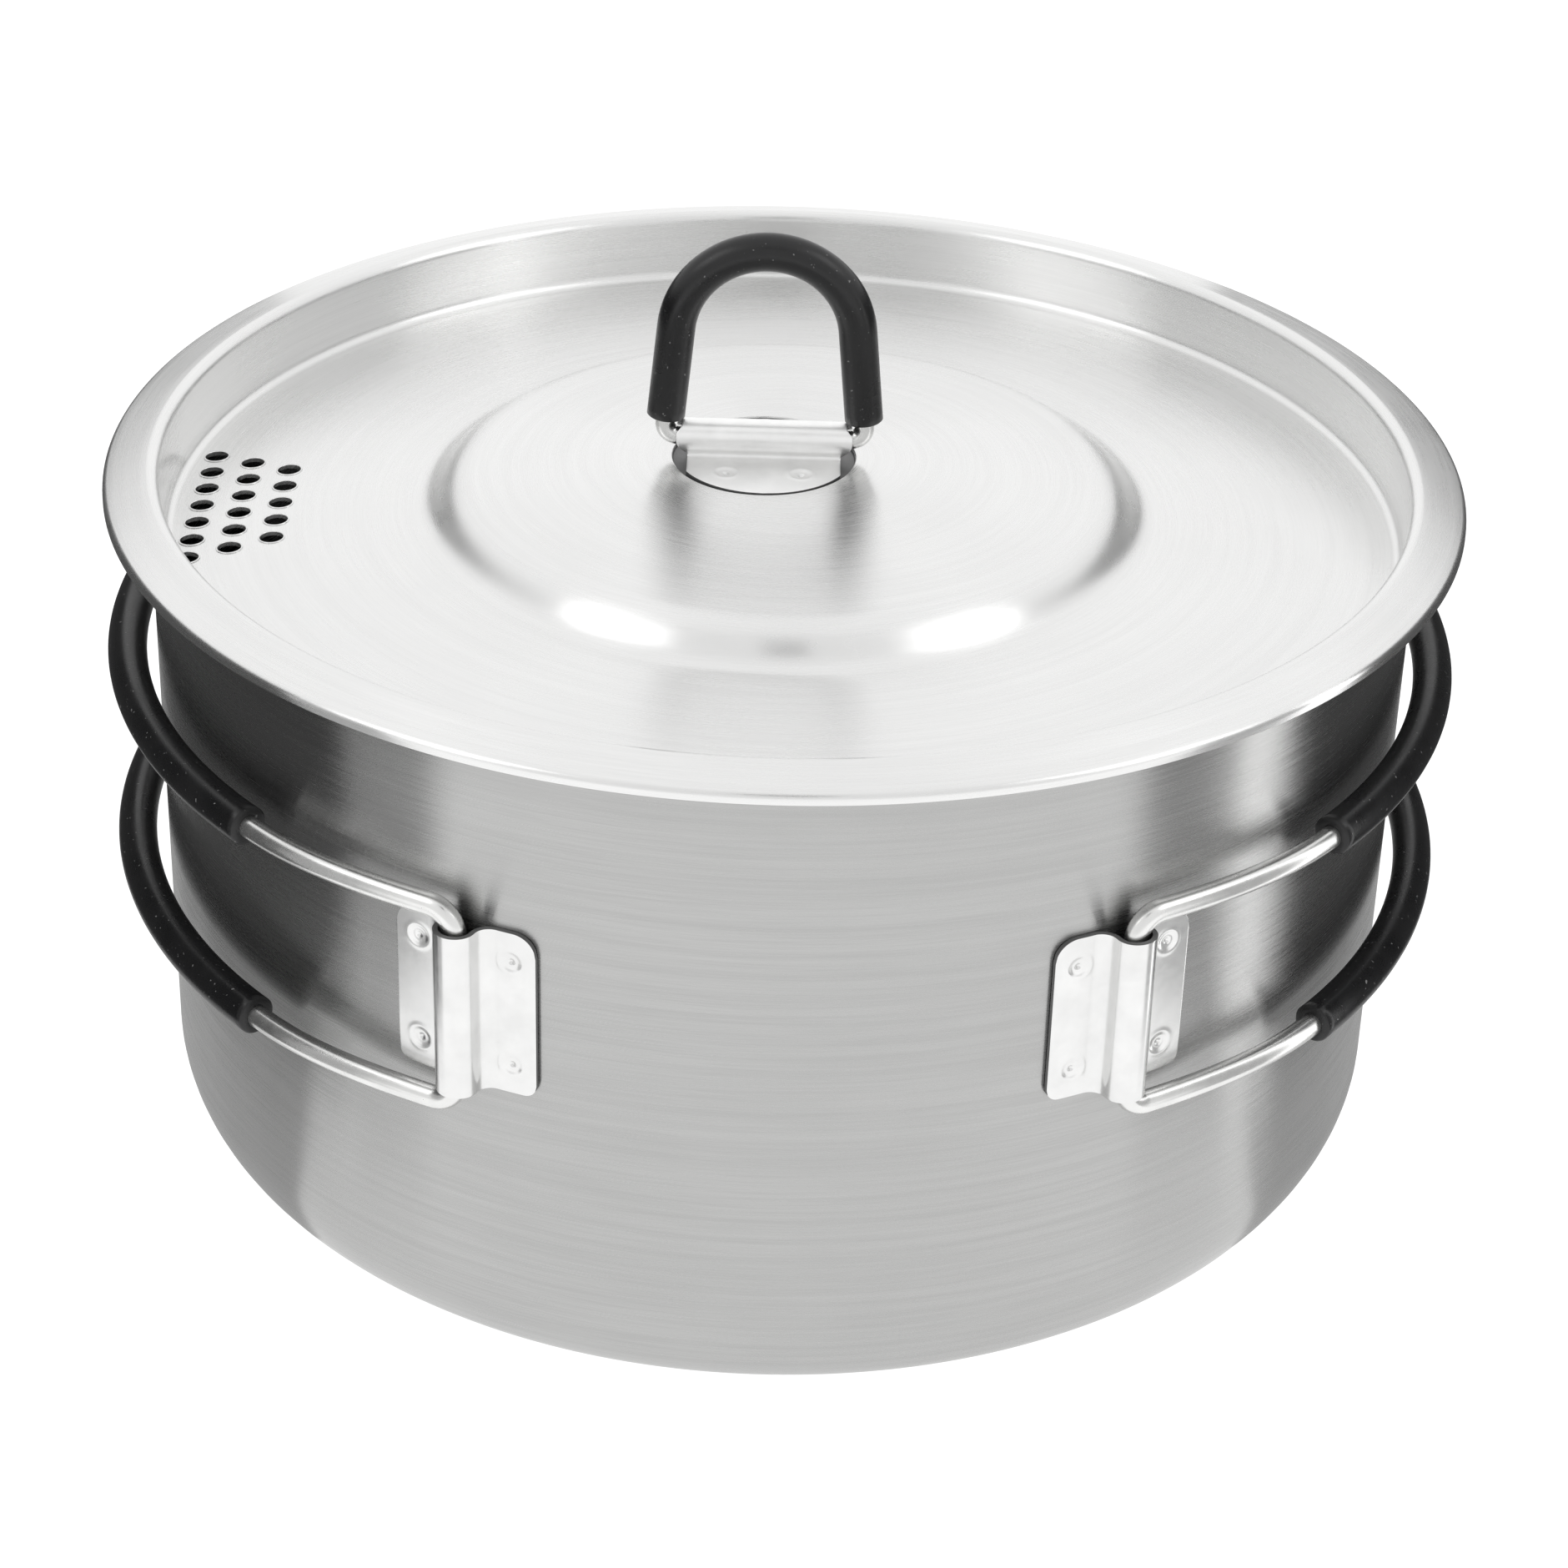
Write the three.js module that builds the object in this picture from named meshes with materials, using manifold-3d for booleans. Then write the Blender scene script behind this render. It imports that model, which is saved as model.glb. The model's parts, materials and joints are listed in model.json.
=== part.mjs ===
// Camping cook pot in stainless steel: a drawn pot with two folding wire handles, each in a hinge
// bracket on the wall, and a strainer lid with a folding ring handle.
// Millimetres, +Z up. The origin is the centre of the pot's flat bottom. The two hinge brackets face
// -Y, and the handles lie folded round the wall towards +Y. Left is -X and right is +X.
import * as THREE from "three";
import { mergeVertices } from "three/addons/utils/BufferGeometryUtils.js";
import Module from "manifold-3d";

const wasm = await Module();
wasm.setup();

const degree = Math.PI / 180;

// ---- Clearances ----
const restGap = 0.3; // between pieces that touch or are welded together
const pinClearance = 0.6; // round a handle's wire end inside its hinge bracket
const ringPinClearance = 0.45; // round the ring's wire end inside the lid bracket
const pinWallGap = 1.5; // between a handle's wire ends and the pot wall
const gripWallGap = 1.75; // between a folded grip and the pot wall
const gripSlack = 0.35; // between a wire and the grip sleeve on it
const skirtClearance = 0.5; // between the lid's skirt and the inside of the pot

// ---- Pot ----
const potRadius = 100.9; // outside of the wall, at the rim
const potDraft = 0.9; // how much narrower the wall is at the bottom
const potHeight = 114.6; // flat bottom to the top of the rim bead
const potSheet = 0.6;
const potCornerRadius = 16.5; // outside of the round between wall and bottom
const rimBeadRadius = 1.5; // rolled rim, half its thickness
const roundSides = 56; // facets round the pot and the lid

// ---- Lid ----
const lidSheet = 0.6;
const lidOverhang = 7.1; // lid edge beyond the pot wall
const lidEdgeDrop = 1.7; // turned-down edge of the lid
const lidEdgeRound = 1; // outside round between flange and edge
const flangeSlope = 14.5; // degrees that the flange falls towards the edge
const lidTurn = -2.15; // degrees that the lid is turned on the pot
const lidRound = 1.6; // rounds at the top and the foot of the skirt
const skirtTaper = 0.3; // how much the skirt narrows towards its foot
const skirtDepth = 11.8; // lid plane down to the foot of the skirt
const domeFootRadius = 57.1;
const domeFootDepth = 9; // lid plane down to the foot of the dome
const domeShoulderRadius = 51; // where the steep shoulder turns into the crown
const domeShoulderDepth = 4.1;
const crownRise = 3.4; // crown's top above its shoulder
const wellShift = -3.5; // the pressed well sits off the middle, along the lid's X
const wellRadius = 14.6;
const wellDepth = 1.1; // one bracket sheet and its gap, so the bracket lies flush

// ---- Strainer holes: staggered straight columns in the lid's outer panel ----
const strainerHoleRadius = 1.9;
const strainerPitch = 6.15;
const strainerColumnStep = 6.3;
const strainerColumns = [7, 6, 5]; // holes in each column, from the skirt inwards
const strainerInset = 5.6; // first column from the foot of the skirt
const strainerOffset = -2.7; // middle of the columns along the lid's Y

// ---- Hinge brackets on the pot ----
const bracketAngle = 28.35; // degrees each side of the front
const bracketDrop = 46.4; // rim down to the middle of the bracket
const bracketHeight = 27.6;
const bracketWidth = 23.2; // along the wall, over both flanges
const bracketSheet = 0.8;
const bracketCornerRadius = 2.6;
const bracketFillet = 2.2; // hollow round between barrel and flange

// ---- Folding wire handles ----
const wireRadius = 1.75;
const gripRadius = 3.1;
const armClearance = 2.9; // bracket end to the centre line of each arm
const handleReachAngle = 116; // degrees from the front to the far end of the loop
const handleCornerRadius = 13;
const gripStartAngle = 50; // degrees from the front to the open ends of the grip
const wireBendRadius = 3.3;
const armEaseLength = 36; // stretch in which an arm moves out from its hinge to lie beside the wall
const pinTipGap = 3; // between the two wire ends inside a bracket

// ---- Lid bracket and ring handle ----
const lidBarrelLength = 27.9;
const lidFlangeWidth = 24.4;
const ringWireRadius = 1.55;
const ringGripRadius = 3.05;
const ringHeight = 31.6; // pivot up to the centre line at the top of the ring
const ringFlare = 5.5; // degrees that each leg leans outward
const ringBendRadius = 2;
const ringPinLength = 9; // wire end inside the lid bracket

// ---- Facets of the small parts ----
const wireSides = 8;
const boreArcSteps = 6;
const filletArcSteps = 3;
const wrapStep = 12; // longest straight stretch of a wire that follows the wall
const bendStep = 24 * degree;

// ---- Places worked out from the sizes above ----
const potBore = potRadius - potSheet;
const crestRadius = potBore - skirtClearance - lidSheet + lidRound;
const lidPlane = potHeight - rimBeadRadius
  - heightUnderFlange(potBore + rimBeadRadius, rimBeadRadius + restGap + lidSheet);
const bracketMiddle = potHeight - bracketDrop;
const bracketWall = wallAt(bracketMiddle + bracketHeight / 2);
const hingeRadius = bracketWall + pinWallGap + wireRadius;
const armRadius = bracketWall + gripWallGap + gripRadius;
const ringPivotHeight = lidPlane + crownAt(wellRadius) + restGap
  + ringWireRadius + ringPinClearance + bracketSheet;
const wellFloor = lidPlane + crownAt(wellRadius) - wellDepth;

const steel = { color: 0xc9cacb, metalness: 1 };
const materials = {
  pot: { ...steel, roughness: 0.34 },
  lid: { ...steel, roughness: 0.28 },
  bracket: { ...steel, roughness: 0.3 },
  wire: { ...steel, roughness: 0.18 },
  grip: { color: 0x232325, metalness: 0, roughness: 0.42 },
};

// Outside radius of the pot's wall at a height. The wall opens slightly towards the rim.
function wallAt(height) {
  return potRadius - potDraft * (1 - height / potHeight);
}

// Height of the crown from the lid plane, a shallow bowl turned over. The lid plane touches the lid's
// highest ring, the crest between its skirt and its sloping flange.
function crownAt(radius) {
  const share = radius / domeShoulderRadius;
  return crownRise * (1 - share * share) - domeShoulderDepth;
}

// Height from the lid plane of the place that is this far under the flange's upper face.
function heightUnderFlange(radius, distance) {
  const fall = (radius - crestRadius) * Math.sin(flangeSlope * degree);
  return (lidRound - distance - fall) / Math.cos(flangeSlope * degree) - lidRound;
}

// ---- Helpers ----

// A closed geometry as a solid that can be cut and joined.
function solid(geometry) {
  const bare = geometry.clone();
  bare.deleteAttribute("normal");
  bare.deleteAttribute("uv");
  const merged = mergeVertices(bare, 1e-4);
  return new wasm.Manifold(new wasm.Mesh({
    numProp: 3,
    vertProperties: new Float32Array(merged.attributes.position.array),
    triVerts: new Uint32Array(merged.index.array),
  }));
}

// A cut or joined solid back as a geometry.
function geometryOf(made) {
  const mesh = made.getMesh();
  const geometry = new THREE.BufferGeometry();
  geometry.setAttribute("position", new THREE.BufferAttribute(mesh.vertProperties, 3));
  geometry.setIndex(new THREE.BufferAttribute(mesh.triVerts, 1));
  const faceted = geometry.toNonIndexed();
  faceted.computeVertexNormals();
  return faceted;
}

function part(name, geometry, material) {
  const mesh = new THREE.Mesh(geometry, new THREE.MeshStandardMaterial(material));
  mesh.name = name;
  return mesh;
}

// Points along an arc, both ends included. Angles in degrees.
function arc(x, y, radius, from, to, steps) {
  const points = [];
  for (let i = 0; i <= steps; i++) {
    const angle = (from + ((to - from) * i) / steps) * degree;
    points.push(new THREE.Vector2(x + radius * Math.cos(angle), y + radius * Math.sin(angle)));
  }
  return points;
}

// A turned shape from a closed outline of (radius, height) points.
function turned(outline, sides = roundSides) {
  return new THREE.LatheGeometry(outline, sides).rotateX(Math.PI / 2);
}

function cylinder(radius, bottom, top, sides) {
  return new THREE.CylinderGeometry(radius, radius, top - bottom, sides)
    .rotateX(Math.PI / 2)
    .translate(0, 0, (bottom + top) / 2);
}

// A curve through chosen stations, so that a sweep has its sections where the bends need them.
class StationCurve extends THREE.Curve {
  constructor(stations) {
    super();
    this.stations = stations;
  }
  stationAt(u) {
    return this.stations[Math.round(u * (this.stations.length - 1))];
  }
  getPoint(u, target = new THREE.Vector3()) {
    return target.copy(this.stationAt(u).place);
  }
  getPointAt(u, target) {
    return this.getPoint(u, target);
  }
  getTangentAt(u, target = new THREE.Vector3()) {
    return target.copy(this.stationAt(u).heading);
  }
}

// A round bar, or a sleeve where a bore is given, swept along stations.
function sweep(stations, radius, bore = 0) {
  const section = new THREE.Shape().absarc(0, 0, radius, 0, 2 * Math.PI);
  if (bore > 0) section.holes.push(new THREE.Path().absarc(0, 0, bore, 0, 2 * Math.PI, true));
  return new THREE.ExtrudeGeometry(section, {
    steps: stations.length - 1,
    curveSegments: wireSides / 2,
    extrudePath: new StationCurve(stations),
  });
}

// Stations along a flat polyline with rounded corners. A corner is { x, y, radius, mark }.
// Each station is { place, heading, mark } in the flat plane.
function roundedRoute(corners) {
  const route = [];
  const heading = new THREE.Vector2();
  corners.forEach((corner, i) => {
    const here = new THREE.Vector2(corner.x, corner.y);
    const before = corners[i - 1];
    const after = corners[i + 1];
    const arriving = before && here.clone().sub(new THREE.Vector2(before.x, before.y)).normalize();
    const leaving = after && new THREE.Vector2(after.x, after.y).sub(here).normalize();
    if (!before || !after || !corner.radius) {
      heading.copy(leaving ?? arriving);
      addStation(route, here, heading, corner.mark);
      return;
    }
    const turn = Math.atan2(arriving.cross(leaving), arriving.dot(leaving));
    const start = here.clone().addScaledVector(arriving, -corner.radius * Math.tan(Math.abs(turn) / 2));
    const side = Math.sign(turn);
    const centre = start.clone().add(
      new THREE.Vector2(-arriving.y, arriving.x).multiplyScalar(side * corner.radius),
    );
    const steps = Math.ceil(Math.abs(turn) / bendStep);
    for (let k = 0; k <= steps; k++) {
      const angle = (turn * k) / steps;
      const place = start.clone().rotateAround(centre, angle);
      addStation(route, place, arriving.clone().rotateAround(new THREE.Vector2(), angle));
    }
  });
  return route;
}

// Adds a station, after splitting a long straight stretch into shorter ones.
function addStation(route, place, heading, mark) {
  const last = route[route.length - 1];
  const stretch = last ? last.place.distanceTo(place) : 0;
  const pieces = Math.ceil(stretch / wrapStep);
  for (let k = 1; k < pieces; k++) {
    const between = last.place.clone().lerp(place, k / pieces);
    route.push({ place: between, heading: heading.clone() });
  }
  route.push({ place: place.clone(), heading: heading.clone(), mark });
}

// The stretch of stations between the two marked ones.
function marked(stations) {
  const ends = stations.flatMap((station, i) => (station.mark ? [i] : []));
  return stations.slice(ends[0], ends[1] + 1);
}

// ---- Pot ----
function potShell() {
  const inner = potCornerRadius - potSheet;
  const corner = wallAt(potCornerRadius) - potCornerRadius;
  const beadX = potBore + rimBeadRadius;
  const beadZ = potHeight - rimBeadRadius;
  const beadStart = 180 + Math.acos((beadX - potRadius) / rimBeadRadius) / degree;
  const outline = [
    new THREE.Vector2(0, 0),
    ...arc(corner, potCornerRadius, potCornerRadius, -90, 0, 5),
    ...arc(beadX, beadZ, rimBeadRadius, beadStart, 540, 7),
    ...arc(corner, potCornerRadius, inner, 0, -90, 4),
    new THREE.Vector2(0, potSheet),
  ];
  return turned(outline);
}

// Section of a hinge bracket: a barrel round the wire with a flange each side. X runs along the
// wall, Y away from it, and the barrel's middle is at pivotY.
function barrelOutline(bore, pivotY, flangeTop, halfWidth) {
  const outer = bore + bracketSheet;
  const hollowY = flangeTop + bracketFillet;
  const rise = Math.max(0, hollowY - pivotY);
  const hollowX = Math.sqrt((outer + bracketFillet) ** 2 - rise ** 2);
  const meet = Math.atan2(rise, hollowX) / degree;
  const flangeFoot = flangeTop - bracketSheet;
  const fillet = arc(hollowX, hollowY, bracketFillet, -90, meet - 180, filletArcSteps);
  const rightFlange = [
    new THREE.Vector2(halfWidth, flangeFoot),
    new THREE.Vector2(halfWidth, flangeTop),
    ...(rise > 0 ? fillet.slice(0, -1) : fillet),
  ];
  const leftFlange = rightFlange.map((p) => new THREE.Vector2(-p.x, p.y)).reverse();
  return [
    ...rightFlange,
    ...arc(0, pivotY, outer, meet, 180 - meet, 2 * boreArcSteps),
    ...leftFlange,
    new THREE.Vector2(-hollowX, flangeFoot),
    new THREE.Vector2(-bore, flangeFoot),
    ...arc(0, pivotY, bore, 180, 0, boreArcSteps),
    new THREE.Vector2(bore, flangeFoot),
    new THREE.Vector2(hollowX, flangeFoot),
  ];
}

// Prism of an outline in XZ, from y = near to y = far.
function prismAlongY(shape, near, far) {
  return new THREE.ExtrudeGeometry(shape, { depth: far - near, curveSegments: 3, bevelEnabled: false })
    .rotateX(Math.PI / 2)
    .translate(0, far, 0);
}

function roundedRectangle(width, height, radius) {
  const shape = new THREE.Shape();
  const x = width / 2 - radius;
  const y = height / 2 - radius;
  shape.absarc(x, y, radius, 0, 90 * degree);
  shape.absarc(-x, y, radius, 90 * degree, 180 * degree);
  shape.absarc(-x, -y, radius, 180 * degree, 270 * degree);
  shape.absarc(x, -y, radius, 270 * degree, 360 * degree);
  return shape;
}

// A hinge bracket wrapped on the wall, on the front of the pot before it is turned to its side.
function hingeBracket(side) {
  const flat = barrelOutline(
    wireRadius + pinClearance,
    hingeRadius - bracketWall,
    restGap + bracketSheet,
    bracketWidth / 2,
  );
  const wrapped = flat.map(({ x, y }) => {
    const angle = x / bracketWall;
    const radius = bracketWall + y;
    return new THREE.Vector2(radius * Math.sin(angle), -radius * Math.cos(angle));
  });
  const strip = new THREE.ExtrudeGeometry(new THREE.Shape(wrapped), {
    depth: bracketHeight,
    bevelEnabled: false,
  }).translate(0, 0, -bracketHeight / 2);
  const outline = roundedRectangle(bracketWidth, bracketHeight, bracketCornerRadius);
  const blank = prismAlongY(outline, -hingeRadius - 2 * gripRadius, -potBore + bracketWidth / 4);
  return geometryOf(solid(strip).intersect(solid(blank)))
    .rotateZ(side * bracketAngle * degree)
    .translate(0, 0, bracketMiddle);
}

// Distance along a folded handle's arm from its hinge to an angle from the front, in degrees.
function armDistance(angle) {
  return (angle - bracketAngle) * degree * armRadius;
}

// Place and heading of a folded handle in plan, a distance along its arm.
function handlePlan(side, distance) {
  const angle = bracketAngle * degree + distance / armRadius;
  const share = THREE.MathUtils.clamp(distance / armEaseLength, 0, 1);
  const moveOut = armRadius - hingeRadius;
  const radius = hingeRadius + moveOut * THREE.MathUtils.smoothstep(share, 0, 1);
  const slope = (moveOut * 6 * share * (1 - share)) / armEaseLength;
  const outward = new THREE.Vector3(side * Math.sin(angle), -Math.cos(angle), 0);
  const along = new THREE.Vector3(side * Math.cos(angle), Math.sin(angle), 0);
  return {
    place: outward.clone().multiplyScalar(radius),
    heading: along.addScaledVector(outward, slope).normalize(),
  };
}

// One wire loop, from its lower end in the bracket round to its upper end, wrapped on the wall.
function handleStations(side) {
  const armHeight = bracketHeight / 2 + armClearance;
  const low = bracketMiddle - armHeight;
  const high = bracketMiddle + armHeight;
  const gripStart = armDistance(gripStartAngle);
  const farEnd = armDistance(handleReachAngle);
  const flat = roundedRoute([
    { x: 0, y: bracketMiddle - pinTipGap / 2 },
    { x: 0, y: low, radius: wireBendRadius },
    { x: gripStart, y: low, mark: true },
    { x: farEnd, y: low, radius: handleCornerRadius },
    { x: farEnd, y: high, radius: handleCornerRadius },
    { x: gripStart, y: high, mark: true },
    { x: 0, y: high, radius: wireBendRadius },
    { x: 0, y: bracketMiddle + pinTipGap / 2 },
  ]);
  return flat.map((station) => {
    const { place, heading } = handlePlan(side, station.place.x);
    return {
      place: place.setZ(station.place.y),
      heading: heading.multiplyScalar(station.heading.x).setZ(station.heading.y).normalize(),
      mark: station.mark,
    };
  });
}

function handleParts(side, name) {
  const stations = handleStations(side);
  return [
    part(name + "_handle_wire", sweep(stations, wireRadius), materials.wire),
    part(
      name + "_handle_grip",
      sweep(marked(stations), gripRadius, wireRadius + gripSlack),
      materials.grip,
    ),
  ];
}

// ---- Lid, in its own frame before it is turned on the pot ----

// Closed outline of a sheet from the line of its upper face, which starts on the axis.
function sheetOutline(face, thickness) {
  const under = face.map((point, i) => {
    const before = face[Math.max(0, i - 1)];
    const after = face[Math.min(face.length - 1, i + 1)];
    const along = after.clone().sub(before).normalize();
    return new THREE.Vector2(point.x + along.y * thickness, point.y - along.x * thickness);
  });
  under[0].x = 0;
  return [...under, ...face.toReversed()];
}

// Upper face of the lid from the middle outwards: crown, shoulder, panel, skirt, flange and edge.
function lidFace() {
  const rim = potRadius + lidOverhang;
  const skirtFoot = crestRadius - lidRound - skirtTaper;
  const edgeHeight = heightUnderFlange(rim - lidEdgeRound, lidEdgeRound);
  const shoulderWidth = domeFootRadius - domeShoulderRadius;
  const shoulderHeight = domeFootDepth - domeShoulderDepth;
  const crown = [0, 0.35, 0.7].map((share) => share * domeShoulderRadius);
  const shoulder = [0, 25, 50, 75, 90].map((angle) => angle * degree);
  return [
    ...crown.map((radius) => new THREE.Vector2(radius, crownAt(radius))),
    ...shoulder.map((angle) => new THREE.Vector2(
      domeShoulderRadius + shoulderWidth * Math.sin(angle),
      -domeFootDepth + shoulderHeight * Math.cos(angle),
    )),
    ...arc(skirtFoot - lidRound, lidRound - skirtDepth, lidRound, -90, 0, 3),
    ...arc(crestRadius, -lidRound, lidRound, 180, 90 - flangeSlope, 4),
    ...arc(rim - lidEdgeRound, edgeHeight, lidEdgeRound, 90 - flangeSlope, 0, 3),
    new THREE.Vector2(rim, edgeHeight + lidEdgeRound - lidEdgeDrop),
  ];
}

// Middles of the strainer holes on the outer panel.
function strainerPlaces() {
  const first = crestRadius - lidRound - skirtTaper - strainerInset;
  return strainerColumns.flatMap((count, column) =>
    Array.from({ length: count }, (_, i) => [
      -first + column * strainerColumnStep,
      strainerOffset + (i - (count - 1) / 2) * strainerPitch,
    ]),
  );
}

function lidShell() {
  const top = crownAt(wellRadius);
  const floor = top - wellDepth;
  const wellOutline = [
    new THREE.Vector2(0, floor - lidSheet),
    new THREE.Vector2(wellRadius - lidSheet, floor - lidSheet),
    new THREE.Vector2(wellRadius + lidSheet, floor + lidSheet),
    new THREE.Vector2(wellRadius + lidSheet, top - lidSheet / 2),
    new THREE.Vector2(wellRadius, top),
    new THREE.Vector2(wellRadius, floor + lidSheet),
    new THREE.Vector2(wellRadius - lidSheet, floor),
    new THREE.Vector2(0, floor),
  ];
  const well = solid(turned(wellOutline, roundSides / 2).translate(wellShift, 0, 0));
  const mouth = solid(cylinder(wellRadius, -skirtDepth, skirtDepth, roundSides / 2).translate(wellShift, 0, 0));
  let lid = solid(turned(sheetOutline(lidFace(), lidSheet))).subtract(mouth).add(well);
  for (const [x, y] of strainerPlaces()) {
    const hole = cylinder(strainerHoleRadius, -skirtDepth - 2 * lidRound, -domeFootDepth + lidRound, 8);
    lid = lid.subtract(solid(hole.translate(x, y, 0)));
  }
  return geometryOf(lid).translate(0, 0, lidPlane);
}

// The lid's bracket: a barrel along X with two flanges on the floor of the well.
function lidBracket() {
  const bore = ringWireRadius + ringPinClearance;
  const flangeReach = wellRadius - lidSheet - restGap;
  const pivotY = ringPivotHeight - wellFloor;
  const outline = barrelOutline(bore, pivotY, restGap + bracketSheet, flangeReach);
  const strip = new THREE.ExtrudeGeometry(new THREE.Shape(outline), {
    depth: lidBarrelLength,
    bevelEnabled: false,
  }).translate(0, 0, -lidBarrelLength / 2).rotateX(Math.PI / 2).rotateZ(Math.PI / 2);
  const low = -bracketSheet;
  const barrelHigh = pivotY + bore + 2 * bracketSheet;
  const flangeHigh = pivotY - bore - bracketSheet;
  const flangePlan = solid(cylinder(flangeReach, low, barrelHigh, roundSides / 2)).intersect(
    solid(new THREE.BoxGeometry(lidFlangeWidth, 2 * wellRadius, 4 * barrelHigh)),
  );
  const barrelPlan = solid(new THREE.BoxGeometry(lidBarrelLength, 2 * wellRadius, barrelHigh - flangeHigh)
    .translate(0, 0, (barrelHigh + flangeHigh) / 2));
  return geometryOf(solid(strip).intersect(flangePlan.add(barrelPlan)))
    .translate(wellShift, 0, wellFloor);
}

// The ring stands up in the lid's XZ plane, its wire ends in the bracket.
function ringStations() {
  const flare = ringFlare * degree;
  const barrelRadius = ringWireRadius + ringPinClearance + bracketSheet;
  const foot = lidBarrelLength / 2 + restGap + ringWireRadius + barrelRadius * Math.tan(flare);
  const peak = foot / Math.tan(flare);
  const archRadius = (peak - ringHeight) / (1 / Math.sin(flare) - 1);
  const tip = lidBarrelLength / 2 - ringPinLength;
  const gripStart = barrelRadius + restGap + ringGripRadius * Math.sin(flare);
  const gripX = foot - gripStart * Math.tan(flare);
  const flat = roundedRoute([
    { x: tip, y: 0 },
    { x: foot, y: 0, radius: ringBendRadius },
    { x: gripX, y: gripStart, mark: true },
    { x: 0, y: peak, radius: archRadius },
    { x: -gripX, y: gripStart, mark: true },
    { x: -foot, y: 0, radius: ringBendRadius },
    { x: -tip, y: 0 },
  ]);
  return flat.map(({ place, heading, mark }) => ({
    place: new THREE.Vector3(place.x + wellShift, 0, place.y + ringPivotHeight),
    heading: new THREE.Vector3(heading.x, 0, heading.y).normalize(),
    mark,
  }));
}

function lidParts() {
  const stations = ringStations();
  return [
    part("lid_shell", lidShell(), materials.lid),
    part("lid_ring_bracket", lidBracket(), materials.bracket),
    part("lid_ring_wire", sweep(stations, ringWireRadius), materials.wire),
    part(
      "lid_ring_grip",
      sweep(marked(stations), ringGripRadius, ringWireRadius + gripSlack),
      materials.grip,
    ),
  ];
}

// ---- The whole object ----
const pot = new THREE.Group();
pot.add(part("pot_shell", potShell(), materials.pot));
pot.add(part("left_hinge_bracket", hingeBracket(-1), materials.bracket));
pot.add(part("right_hinge_bracket", hingeBracket(1), materials.bracket));

const handles = new THREE.Group();
handles.add(...handleParts(-1, "left"), ...handleParts(1, "right"));

const lid = new THREE.Group();
lid.rotation.z = lidTurn * degree;
lid.add(...lidParts());

const cookPot = new THREE.Group();
cookPot.add(pot, handles, lid);

export default cookPot;
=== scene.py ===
import json
import math

import bmesh
import bpy
from mathutils import Matrix, Vector


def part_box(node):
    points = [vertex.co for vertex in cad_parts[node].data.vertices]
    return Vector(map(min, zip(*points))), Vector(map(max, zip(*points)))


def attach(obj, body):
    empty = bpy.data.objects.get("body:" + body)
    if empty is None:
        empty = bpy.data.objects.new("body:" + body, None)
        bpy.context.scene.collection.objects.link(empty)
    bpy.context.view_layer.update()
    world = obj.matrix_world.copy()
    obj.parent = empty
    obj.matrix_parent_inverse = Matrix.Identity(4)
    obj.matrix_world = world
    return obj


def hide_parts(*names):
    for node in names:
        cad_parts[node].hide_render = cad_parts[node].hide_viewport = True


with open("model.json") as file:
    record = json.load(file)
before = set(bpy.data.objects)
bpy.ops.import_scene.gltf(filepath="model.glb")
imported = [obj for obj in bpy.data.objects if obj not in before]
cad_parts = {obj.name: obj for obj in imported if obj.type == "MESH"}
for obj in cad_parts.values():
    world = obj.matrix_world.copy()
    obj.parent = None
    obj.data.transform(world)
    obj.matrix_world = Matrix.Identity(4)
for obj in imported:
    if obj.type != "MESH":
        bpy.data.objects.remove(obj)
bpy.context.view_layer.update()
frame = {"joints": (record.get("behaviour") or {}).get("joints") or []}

# Looks of a stainless steel camping cook pot: pot with two folding wire handles, and a strainer lid
# with a folding ring. The object's sizes are in millimetres and become metres when a mesh is made. The
# studio's and the camera's are in metres. The origin is the centre of the pot's bottom, +Z is up and
# the two hinge brackets face -Y.
MM = 0.001
MERGE_GAP = 0.002


def joint_place(name):
    """A joint's position in millimetres."""
    return Vector(next(j["pos_m"] for j in frame["joints"] if j["name"] == name)) / MM


def box_top(node):
    """The highest corner of a CAD node's box in millimetres."""
    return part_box(node)[1] / MM


# ---- Sizes of the pot ----
SHEET = 0.6
BEAD_RADIUS = 1.5
POT_TOP = box_top("pot_shell").z
WALL_RADIUS = box_top("pot_shell").x - 2 * BEAD_RADIUS + SHEET
WALL_DRAFT = 0.9
POT_CORNER = 16.5
BOTTOM_RING = 40.0
ROUND_STEPS = 288

# ---- Sizes of the lid ----
LID_RADIUS = 108.0
LID_CREST = box_top("lid_shell").z
LID_TURN = math.radians(-2.15)
CREST_RADIUS = 100.8
LID_ROUND = 1.6
EDGE_ROUND = 1.0
EDGE_DROP = 1.7
FLANGE_SLOPE = math.radians(14.5)
SKIRT_TAPER = 0.3
SKIRT_DEPTH = 11.8
DOME_START = 49.5
DOME_END = 59.5
SHOULDER_RADIUS = 51.0
SHOULDER_DEPTH = 4.1
DOME_FOOT_RADIUS = 57.1
DOME_FOOT_DEPTH = 9.0
DOME_LEAVE = 6.2
DOME_ARRIVE = 4.8
DOME_STEPS = 26
CROWN_RISE = 3.4
CROWN_STEPS = 18
WELL_SHIFT = -3.5
WELL_RADIUS = 14.6
WELL_DEPTH = 1.1
WELL_ROUND = 0.4
WELL_FLOOR_RINGS = (0.3, 0.55, 0.75, 0.88)
HOLE_RADIUS = 1.9
HOLE_STEPS = 36
HOLE_CUT = 6.0
BURR_RADIUS = 0.14
BURR_STEPS = 8
BURR_SHIFT = 0.7
BURR_FLATNESS = 0.7
HOLE_PITCH = 6.15
HOLE_COLUMN_STEP = 6.3
HOLE_COLUMNS = (7, 6, 5)
HOLE_FIRST_COLUMN = -93.3
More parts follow.
